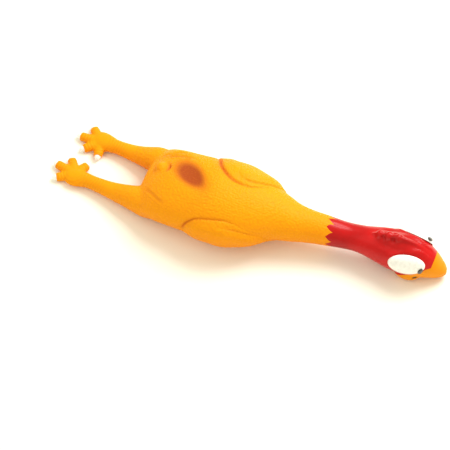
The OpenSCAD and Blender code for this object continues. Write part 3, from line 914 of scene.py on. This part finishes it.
def lay_down(mesh):
    """Bows the straight moulded torso and turns its neck and head, as they lie in the frame."""
    points = read_points(mesh) / MM
    torso = points[:, 0] <= NECK_ROOT
    points[torso, 1] += lean(points[torso, 0])
    for i in np.flatnonzero(~torso):
        x, y, turn = spine(points[i, 0] - NECK_ROOT)
        points[i, 0] = x - points[i, 1] * math.sin(turn)
        points[i, 1] = y + points[i, 1] * math.cos(turn)
    write_points(mesh, points * MM)


def cut(obj, point, normal, name):
    """Cuts obj at a plane. What lies on the normal's side becomes a new object called name."""
    pick(obj)
    bpy.ops.object.duplicate()
    beyond = bpy.context.object
    beyond.name = beyond.data.name = name
    for piece, side in ((beyond, "clear_inner"), (obj, "clear_outer")):
        pick(piece)
        bpy.ops.object.mode_set(mode="EDIT")
        bpy.ops.mesh.select_all(action="SELECT")
        bpy.ops.mesh.bisect(plane_co=Vector(point) * MM, plane_no=normal, **{side: True})
        bpy.ops.object.mode_set(mode="OBJECT")
    return beyond


def keep_normals(obj):
    """Shades a cut piece with the normals of the whole skin, so that no cut shows."""
    mesh = obj.data
    values = np.empty(len(mesh.vertices) * 3, dtype=np.float32)
    mesh.attributes["whole_normal"].data.foreach_get("vector", values)
    vectors = values.reshape(-1, 3)
    vectors = vectors / np.maximum(np.linalg.norm(vectors, axis=1, keepdims=True), 1e-9)
    mesh.shade_smooth()
    mesh.normals_split_custom_set_from_vertices(vectors.tolist())
    mesh.attributes.remove(mesh.attributes["whole_normal"])


class CHICKEN_OT_skin(bpy.types.Operator):
    """Models the latex skin in one piece, carves it, and cuts it where the frame has its bodies"""

    bl_idname = "rubber_chicken.skin"
    bl_label = "Latex Skin"

    def execute(self, context):
        sizes, colours = context.scene.chicken_sizes, context.scene.chicken_colours
        forms = [body_form(), *head_forms(), dome("nub_form", (*NUB, 45), (7.5, 6.4, 5.8))]
        for side in (-1, 1):
            forms += leg_forms(side)
        clear_selection()
        for form in forms:
            form.select_set(True)
        skin = forms[0]
        bpy.context.view_layer.objects.active = skin
        bpy.ops.object.join()
        skin.name = skin.data.name = "torso_latex"
        finish_with(skin, "REMESH", mode="VOXEL", voxel_size=sizes.grain * MM, use_smooth_shade=True)
        finish_with(skin, "SMOOTH", factor=0.5, iterations=3)
        soft = skin.vertex_groups.new(name="soft")
        soft.add([v.index for v in skin.data.vertices if v.co.x > (CROTCH - 36) * MM], 1.0, "REPLACE")
        finish_with(skin, "SMOOTH", factor=0.5, iterations=4, vertex_group="soft")
        hips = skin.vertex_groups.new(name="hips")
        near_hips = [v.index for v in skin.data.vertices if abs(v.co.x / MM - CROTCH - 2) < 20]
        hips.add(near_hips, 1.0, "REPLACE")
        finish_with(skin, "SMOOTH", factor=0.5, iterations=12, vertex_group="hips")
        skin.vertex_groups.clear()
        mesh = skin.data
        carve(mesh, sizes)
        lay_down(mesh)
        paint_vector(mesh, "whole_normal", read_points(mesh, "normal"))
        give(skin, latex_material(sizes, colours))
        self.divide(skin)
        return {"FINISHED"}

    def divide(self, skin):
        neck = []
        for s, name in (
            (HEAD_START, "head_latex"), (61.0, "throat_latex"),
            (27.0, "mid_neck_latex"), (0.0, "neck_root_latex"),
        ):
            x, y, turn = spine(s)
            neck.append(cut(skin, (x, y, 0), (math.cos(turn), math.sin(turn), 0), name))
        head, throat, middle, root = neck
        legs = cut(skin, (CROTCH, 0, 0), (-1, 0, 0), "left_hip_latex")
        right_leg = cut(legs, (0, REAR_LEAN, 0), (0, -1, 0), "right_hip_latex")
        back = cut(skin, (0, 0, 44), (0, 0, 1), "back_latex")

        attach(skin, "torso")
        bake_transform(back)
        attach(head, "head")
        for piece, a, b, first, last in (
            (root, "torso", "neck_lower", 0, 18),
            (middle, "neck_lower", "neck_upper", 36, 52),
            (throat, "neck_upper", "head", 70, 86),
        ):
            start, end = (Vector((*spine(s)[:2], 29)) * MM for s in (first, last))
            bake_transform(piece)
        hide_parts("torso_skin", "left_wing", "right_wing", "tail_nub")
        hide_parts("back_skin", "back_soft_band")
        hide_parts("neck_root_bend", "lower_neck")
        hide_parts("mid_neck_bend", "upper_neck")
        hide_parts("throat_bend")
        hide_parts("head_skin", "comb", "beak")
        pieces = [skin, back, root, middle, throat, head]

        for hip, side, word in ((legs, 1, "left"), (right_leg, -1, "right")):
            length = LEG_LENGTH[side]
            thigh = HIP_BEND + (length - 30) / 2
            shank = length - ANKLE_BEND
            foot = cut(hip, (CROTCH - length, 0, 0), (-1, 0, 0), f"{word}_foot_latex")
            ankle = cut(hip, (CROTCH - shank + 5, 0, 0), (-1, 0, 0), f"{word}_ankle_latex")
            knee = cut(hip, (CROTCH - thigh + 4, 0, 0), (-1, 0, 0), f"{word}_knee_latex")
            for piece, a, b, first, last in (
                (hip, "torso", f"{word}_thigh", 0, HIP_BEND),
                (knee, f"{word}_thigh", f"{word}_shank", thigh, thigh + 10),
                (ankle, f"{word}_shank", f"{word}_foot", shank, length),
            ):
                start, end = (Vector((*on_leg(side, d), 10)) * MM for d in (first, last))
                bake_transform(piece)
            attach(foot, f"{word}_foot")
            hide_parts(f"{word}_hip_bend", f"{word}_thigh")
            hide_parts(f"{word}_knee_bend", f"{word}_shank")
            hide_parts(f"{word}_ankle_bend")
            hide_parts(f"{word}_foot")
            pieces += [hip, knee, ankle, foot]
        for piece in pieces:
            keep_normals(piece)


class CHICKEN_OT_eyes_and_claws(bpy.types.Operator):
    """Paints the eyes, their pupils and the claws"""

    bl_idname = "rubber_chicken.eyes_and_claws"
    bl_label = "Eyes and Claws"

    def execute(self, context):
        colours = context.scene.chicken_colours
        white = gloss_material("eye_white_gloss", colours.eye_white, 0.16)
        black = gloss_material("pupil_black_gloss", colours.pupil, 0.2)
        claw = gloss_material("claw_white", colours.eye_white, 0.3)
        for name, material in (("eye", white), ("pupil", black), ("claws", claw)):
            for word in ("left", "right"):
                give(frame["nodes"][f"{word}_{name}"], material)
        return {"FINISHED"}


class CHICKEN_OT_squeaker(bpy.types.Operator):
    """Gives the squeaker its plastic and its reed its brass"""

    bl_idname = "rubber_chicken.squeaker"
    bl_label = "Squeaker"

    def execute(self, context):
        plastic = plastic_material()
        for name in ("squeaker_body", "reed_base", "reed_clamp"):
            give(frame["nodes"][name], plastic)
        give(frame["nodes"]["reed"], brass_material())
        return {"FINISHED"}


class CHICKEN_OT_stage(bpy.types.Operator):
    """Lays the pale table and sets the soft light and the camera"""

    bl_idname = "rubber_chicken.stage"
    bl_label = "Table, Light and Camera"

    def execute(self, context):
        stage = context.scene.chicken_stage
        clear_selection()
        bpy.ops.mesh.primitive_plane_add(size=8, location=(0, 0, 0))
        floor = bpy.context.object
        floor.name = floor.data.name = "table"
        material, tree, shader = new_material("white_card")
        n = Nodes(tree)
        where = n.add("ShaderNodeTexCoord").outputs["Object"]
        grain = n.add("ShaderNodeTexNoise", {"Vector": where, "Scale": 90.0, "Detail": 2.0}).outputs["Fac"]
        n.put(n.mix(grain, (0.96, 0.94, 0.88, 1), (0.99, 0.97, 0.91, 1)), shader.inputs["Base Color"])
        shader.inputs["Roughness"].default_value = 0.8
        shader.inputs["Specular IOR Level"].default_value = 0.1
        give(floor, material)

        world = bpy.data.worlds.new("studio")
        world.use_nodes = True
        world.node_tree.nodes["Background"].inputs["Color"].default_value = (1.0, 0.96, 0.76, 1)
        world.node_tree.nodes["Background"].inputs["Strength"].default_value = 0.86
        context.scene.world = world
        for name, place, size, power in (
            ("key", (0.35, 0.7, 1.0), 0.8, 15.5),
            ("fill", (-0.9, -0.5, 1.2), 1.4, 3.0),
        ):
            bpy.ops.object.light_add(type="AREA", location=place)
            lamp = bpy.context.object
            lamp.name = name
            lamp.data.size = size
            lamp.data.energy = power
            lamp.rotation_euler = (-Vector(place)).to_track_quat("-Z", "Y").to_euler()

        a, e = stage.azimuth, stage.elevation
        back = Vector((math.sin(a) * math.cos(e), -math.cos(a) * math.cos(e), math.sin(e)))
        aim = Vector((17.0, -5.6, 0)) * MM
        facing = back.to_track_quat("Z", "Y").to_euler()
        bpy.ops.object.camera_add(location=aim + back * stage.distance, rotation=facing)
        camera = bpy.context.object
        camera.data.sensor_width = 36
        camera.data.lens = 36 * stage.distance / stage.view_width
        camera.data.clip_start, camera.data.clip_end = 0.01, 20
        context.scene.camera = camera
        context.scene.view_settings.view_transform = "Standard"
        return {"FINISHED"}


class CHICKEN_PT_panel(bpy.types.Panel):
    """Lists the steps that build the rubber chicken"""

    bl_idname = "CHICKEN_PT_panel"
    bl_label = "Rubber Chicken"
    bl_space_type = "VIEW_3D"
    bl_region_type = "UI"
    bl_category = "Rubber Chicken"

    def draw(self, context):
        for group in ("chicken_sizes", "chicken_colours", "chicken_stage"):
            settings = getattr(context.scene, group)
            for key in settings.__annotations__:
                self.layout.prop(settings, key)
        for operator in OPERATORS:
            self.layout.operator(operator.bl_idname)


GROUPS = {"chicken_sizes": ChickenSizes, "chicken_colours": ChickenColours, "chicken_stage": StageSettings}
OPERATORS = (CHICKEN_OT_skin, CHICKEN_OT_eyes_and_claws, CHICKEN_OT_squeaker, CHICKEN_OT_stage)


def register():
    for cls in (*GROUPS.values(), *OPERATORS, CHICKEN_PT_panel):
        bpy.utils.register_class(cls)
    for name, cls in GROUPS.items():
        setattr(bpy.types.Scene, name, PointerProperty(type=cls))


def unregister():
    for name in GROUPS:
        delattr(bpy.types.Scene, name)
    for cls in reversed((*GROUPS.values(), *OPERATORS, CHICKEN_PT_panel)):
        bpy.utils.unregister_class(cls)


def main():
    register()
    bpy.ops.rubber_chicken.skin()
    bpy.ops.rubber_chicken.eyes_and_claws()
    bpy.ops.rubber_chicken.squeaker()
    bpy.ops.rubber_chicken.stage()


if __name__ == "__main__":
    main()
